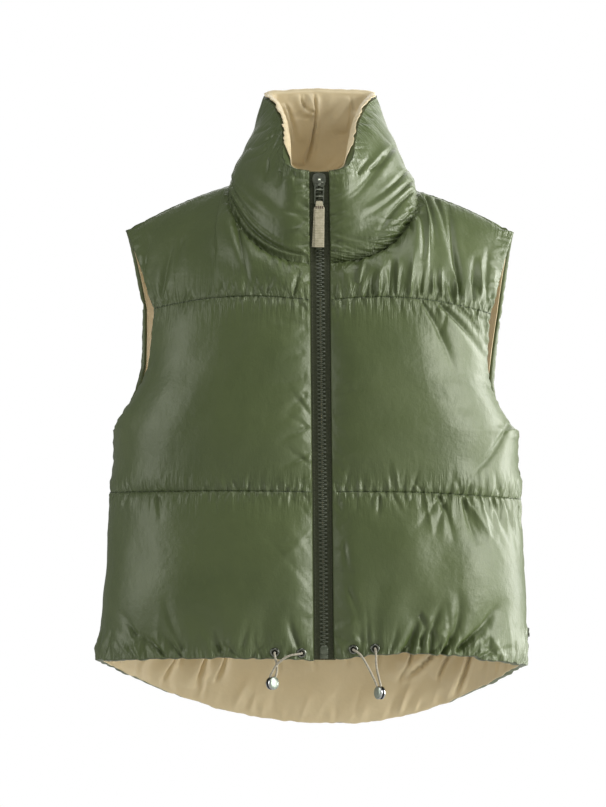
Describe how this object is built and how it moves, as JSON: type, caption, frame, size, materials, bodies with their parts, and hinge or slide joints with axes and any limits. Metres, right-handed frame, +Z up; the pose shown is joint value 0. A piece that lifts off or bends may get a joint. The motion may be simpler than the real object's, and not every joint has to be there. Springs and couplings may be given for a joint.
{
  "type": "puffer vest",
  "caption": "Cropped sleeveless puffer vest with a tall padded collar, full front zip and corded hem, standing open and hollow as worn.",
  "frame": {"origin": "middle of the neck's base, level with the tops of the shoulder seams", "axes": "+Z up, -Y out of the front, -X to the wearer's right"},
  "size_m": [0.4339, 0.2608, 0.6341],
  "materials": {
    "shell_nylon": "glossy olive green nylon, padded",
    "lining_satin": "beige satin lining",
    "zip_tape": "dark olive woven tape",
    "zip_chain": "moulded teeth in dark olive",
    "zip_metal": "satin plated metal",
    "tag_webbing": "light khaki woven webbing",
    "eyelet_metal": "dark plated metal",
    "lock_metal": "satin plated metal",
    "hem_cord": "pale elastic cord"
  },
  "bodies": {
    "vest": {"front_right": "shell_nylon", "front_left": "shell_nylon", "back": "shell_nylon", "collar": "shell_nylon", "lining_front_right": "lining_satin", "lining_front_left": "lining_satin", "lining_back": "lining_satin", "lining_collar": "lining_satin", "zip_tape_right": "zip_tape", "zip_tape_left": "zip_tape", "zip_chain": "zip_chain", "zip_box": "zip_chain", "zip_slider": "zip_metal", "eyelet_right_outer": "eyelet_metal", "eyelet_right_inner": "eyelet_metal", "eyelet_left_inner": "eyelet_metal", "eyelet_left_outer": "eyelet_metal", "eyelet_left_side": "eyelet_metal", "cord_lock_right": "lock_metal", "cord_lock_left": "lock_metal", "hem_cord_right_a": "hem_cord", "hem_cord_right_b": "hem_cord", "hem_cord_left_a": "hem_cord", "hem_cord_left_b": "hem_cord"},
    "zip_pull": {"pull_frame": "zip_metal", "pull_tag": "tag_webbing"}
  },
  "joints": [
    {"name": "pull_swing", "type": "hinge", "parent": "vest", "child": "zip_pull", "pos_m": [0.00109, -0.09574, 0.00833], "axis": [-1, 0, 0], "range_deg": [0, 150]}
  ]
}
